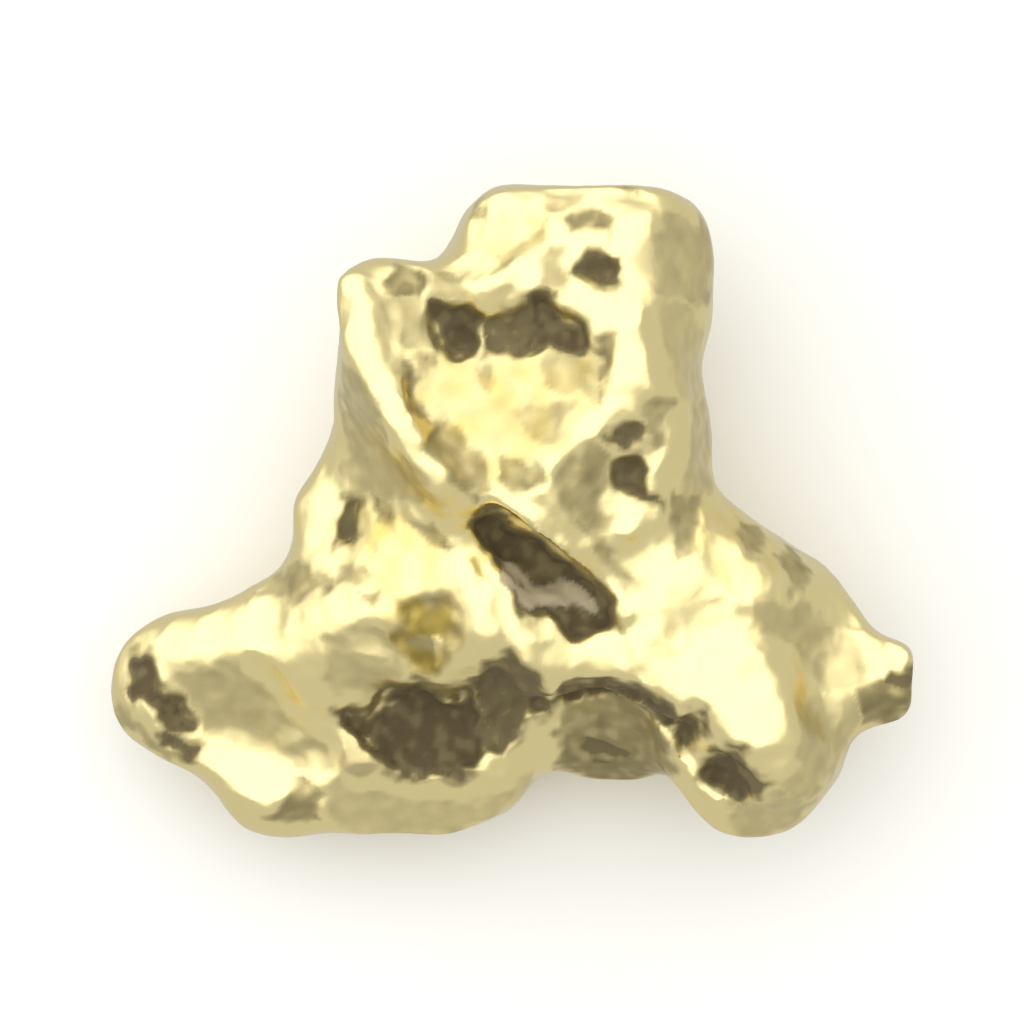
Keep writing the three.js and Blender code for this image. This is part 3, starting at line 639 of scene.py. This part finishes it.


# Native gold, worn by water: pale yellow because of its silver, bright where it is rubbed, and brown where
# iron stain and silt stay in its pits; that brown and the tan of the dull spots also paint shade

goldLook = {
    "gold": "#FDECAB",
    "stained": ((0.17, "#DACB94"), (0.4, "#B5A878"), (0.65, "#766A45")),  # tan, dull and olive, by the stain; these also paint shade
    # brown of the pits: dirt that also paints their shade
    "brown": "#574A2E",
    "warmth": "#F4E8AE",  # tints the gold where it is a warmer yellow
    "silt": "#AC9F80",  # lies in the slot and in narrow creases
    "polish": 0.28,  # roughness of the rubbed metal, and of the dirt
    "dirt": 0.9,
    "hidden": (0.45, 0.8),  # stain over which the dirt hides the metal
    "grit": 0.12,  # mm, the finest dents in the metal, their depth and how much they show
    "gritDepth": 0.02,
    "gritShare": 0.15,
}


def goldMaterial():
    material = bpy.data.materials.new("nativeGoldWaterWorn")
    material.use_nodes = True
    tree = material.node_tree
    tree.nodes.clear()
    place = addNode(tree, "ShaderNodeTexCoord").outputs["Object"]
    # stain: tarnish, dirt and painted shade, read from the skin
    stain = addNode(tree, "ShaderNodeAttribute", {"attribute_name": "stain"}).outputs["Fac"]
    ramp = addNode(tree, "ShaderNodeValToRGB", Fac=stain)
    ramp.color_ramp.elements[0].color = linearHex(goldLook["gold"])
    ramp.color_ramp.elements[1].color = linearHex(goldLook["brown"])
    for position, code in goldLook["stained"]:
        ramp.color_ramp.elements.new(position).color = linearHex(code)
    warmth = addNode(tree, "ShaderNodeAttribute", {"attribute_name": "warmth"}).outputs["Fac"]
    colour = addNode(tree, "ShaderNodeMix", {"data_type": "RGBA", "blend_type": "MULTIPLY"}, in0=warmth,
                     in6=ramp.outputs[0], in7=linearHex(goldLook["warmth"])).outputs[2]
    silt = addNode(tree, "ShaderNodeAttribute", {"attribute_name": "silt"}).outputs["Fac"]
    colour = addNode(tree, "ShaderNodeMix", {"data_type": "RGBA"}, in0=silt, in6=colour,
                     in7=linearHex(goldLook["silt"])).outputs[2]
    dull = addNode(tree, "ShaderNodeMath", {"operation": "MAXIMUM"}, in0=stain, in1=silt).outputs[0]
    seen, hidden = goldLook["hidden"]
    metal = addNode(tree, "ShaderNodeMapRange", in0=dull, in1=seen, in2=hidden, in3=1.0, in4=0.0).outputs[0]
    rough = addNode(tree, "ShaderNodeMapRange", in0=dull, in1=0.0, in2=1.0, in3=goldLook["polish"],
                    in4=goldLook["dirt"]).outputs[0]
    grit = addNode(tree, "ShaderNodeTexNoise", Vector=place, Scale=1 / (goldLook["grit"] * mm), Detail=4.0)
    bump = addNode(tree, "ShaderNodeBump", Strength=goldLook["gritShare"], Height=grit.outputs[0],
                   Distance=goldLook["gritDepth"] * mm).outputs[0]
    shader = addNode(tree, "ShaderNodeBsdfPrincipled", Base_Color=colour, Metallic=metal, Roughness=rough,
                     Normal=bump)
    out = addNode(tree, "ShaderNodeOutputMaterial")
    tree.links.new(shader.outputs[0], out.inputs[0])
    return material


gold = goldMaterial()
tree = wornSkinTree()
relief = nugget.modifiers.new("wornSkin", "NODES")
relief.node_group = tree
for item in tree.interface.items_tree:
    if item.in_out == "INPUT" and item.name in wornSkin:
        relief[item.identifier] = float(wornSkin[item.name])
    if item.in_out == "INPUT" and item.name == "Material":
        relief[item.identifier] = gold
swapMesh(nugget, evaluated(nugget, "nuggetSkin"))
print("worn skin,", len(nugget.data.vertices), "points")

points, normals = meshArrays(nugget.data)
hollow = hollowness(nugget.data, points, normals, tarnishAndShadeFeel["creasePasses"])
creased = smoothStep(*tarnishAndShadeFeel["crease"], hollow)
# Broad enough that the pits' steep walls take the stain and painted shade of their floors
broadUp = settled(nugget.data, normals, markFeel["broadPasses"])[:, 2]
facesUp = smoothStep(*tarnishAndShadeFeel["upward"], broadUp)
# Stain with painted shade: the dull spots, pits and arch crease are darker where the surface lies in shade
stain = stainAndShadeOf(points, tarnishAndShadeFeel["creaseStain"] * creased) * facesUp
creaseSilt = tarnishAndShadeFeel["creaseSilt"] * creased * (1 - smoothStep(*tarnishAndShadeFeel["siltOff"], stain))
silt = np.maximum(flakeOf(points) * facesUp, creaseSilt)
for name, values in (("stain", stain), ("warmth", warmthOf(points)), ("silt", silt)):
    nugget.data.attributes.new(name, "FLOAT", "POINT").data.foreach_set("value", values)
points[:, 2] = np.maximum(points[:, 2], 0)
setPoints(nugget.data, points * mm)
nugget.data.shade_smooth()

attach(nugget, "root")
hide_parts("nugget")


# Pale floor, soft light and the camera over the nugget

stage = {
    "floorSide": 0.6,
    "floorColour": "#F4F3EF",
    "floorRoughness": 0.9,
    "toLight": (-0.27, 0.55, 0.79),  # the bright part of the room, up and to the back left
    "farSide": 0.37,  # how bright the room is opposite that, at shares of the way to it, and there
    "between": ((0.58, 0.36), (0.68, 0.58), (0.82, 0.95)),
    "nearSide": 1.0,
    "strength": 1.7,
    "cameraHeight": 0.25,
    "frameWide": 15.36 * mm,  # what the picture spans at the height of the outline
    "outlineHeight": 2.4 * mm,
    "sensorWide": 36.0,  # mm in the camera itself
    "clip": (0.005, 5.0),
}

floorMesh = bpy.data.meshes.new("floor")
half = stage["floorSide"] / 2
corners = [(-half, -half, 0), (half, -half, 0), (half, half, 0), (-half, half, 0)]
floorMesh.from_pydata(corners, [], [(0, 1, 2, 3)])
floor = bpy.data.objects.new("floor", floorMesh)
bpy.context.scene.collection.objects.link(floor)
floor.visible_glossy = False  # the gold mirrors the room, not the sheet under it
paper = bpy.data.materials.new("paleFloor")
paper.use_nodes = True
paperShader = paper.node_tree.nodes["Principled BSDF"]
paperShader.inputs["Base Color"].default_value = linearHex(stage["floorColour"])
paperShader.inputs["Roughness"].default_value = stage["floorRoughness"]
floorMesh.materials.append(paper)

world = bpy.data.worlds.new("room")
bpy.context.scene.world = world
world.use_nodes = True
room = world.node_tree
room.nodes.clear()
way = addNode(room, "ShaderNodeTexCoord").outputs["Generated"]
toLight = addNode(room, "ShaderNodeVectorMath", {"operation": "DOT_PRODUCT"}, in0=way,
                  in1=Vector(stage["toLight"])).outputs[1]
share = addNode(room, "ShaderNodeMapRange", in0=toLight, in1=-1.0, in2=1.0, in3=0.0, in4=1.0).outputs[0]
ramp = addNode(room, "ShaderNodeValToRGB", Fac=share)
ramp.color_ramp.elements[0].color = [stage["farSide"]] * 3 + [1]
ramp.color_ramp.elements[1].color = [stage["nearSide"]] * 3 + [1]
for position, level in stage["between"]:
    ramp.color_ramp.elements.new(position).color = [level] * 3 + [1]
light = addNode(room, "ShaderNodeBackground", Color=ramp.outputs[0], Strength=stage["strength"])
roomOut = addNode(room, "ShaderNodeOutputWorld")
room.links.new(light.outputs[0], roomOut.inputs[0])

lens = bpy.data.cameras.new("overheadCamera")
lens.sensor_width = stage["sensorWide"]
lens.lens = stage["sensorWide"] * (stage["cameraHeight"] - stage["outlineHeight"]) / stage["frameWide"]
lens.clip_start, lens.clip_end = stage["clip"]
camera = bpy.data.objects.new("overheadCamera", lens)
bpy.context.scene.collection.objects.link(camera)
camera.location = (0, 0, stage["cameraHeight"])
bpy.context.scene.camera = camera
bpy.context.scene.view_settings.view_transform = "Standard"
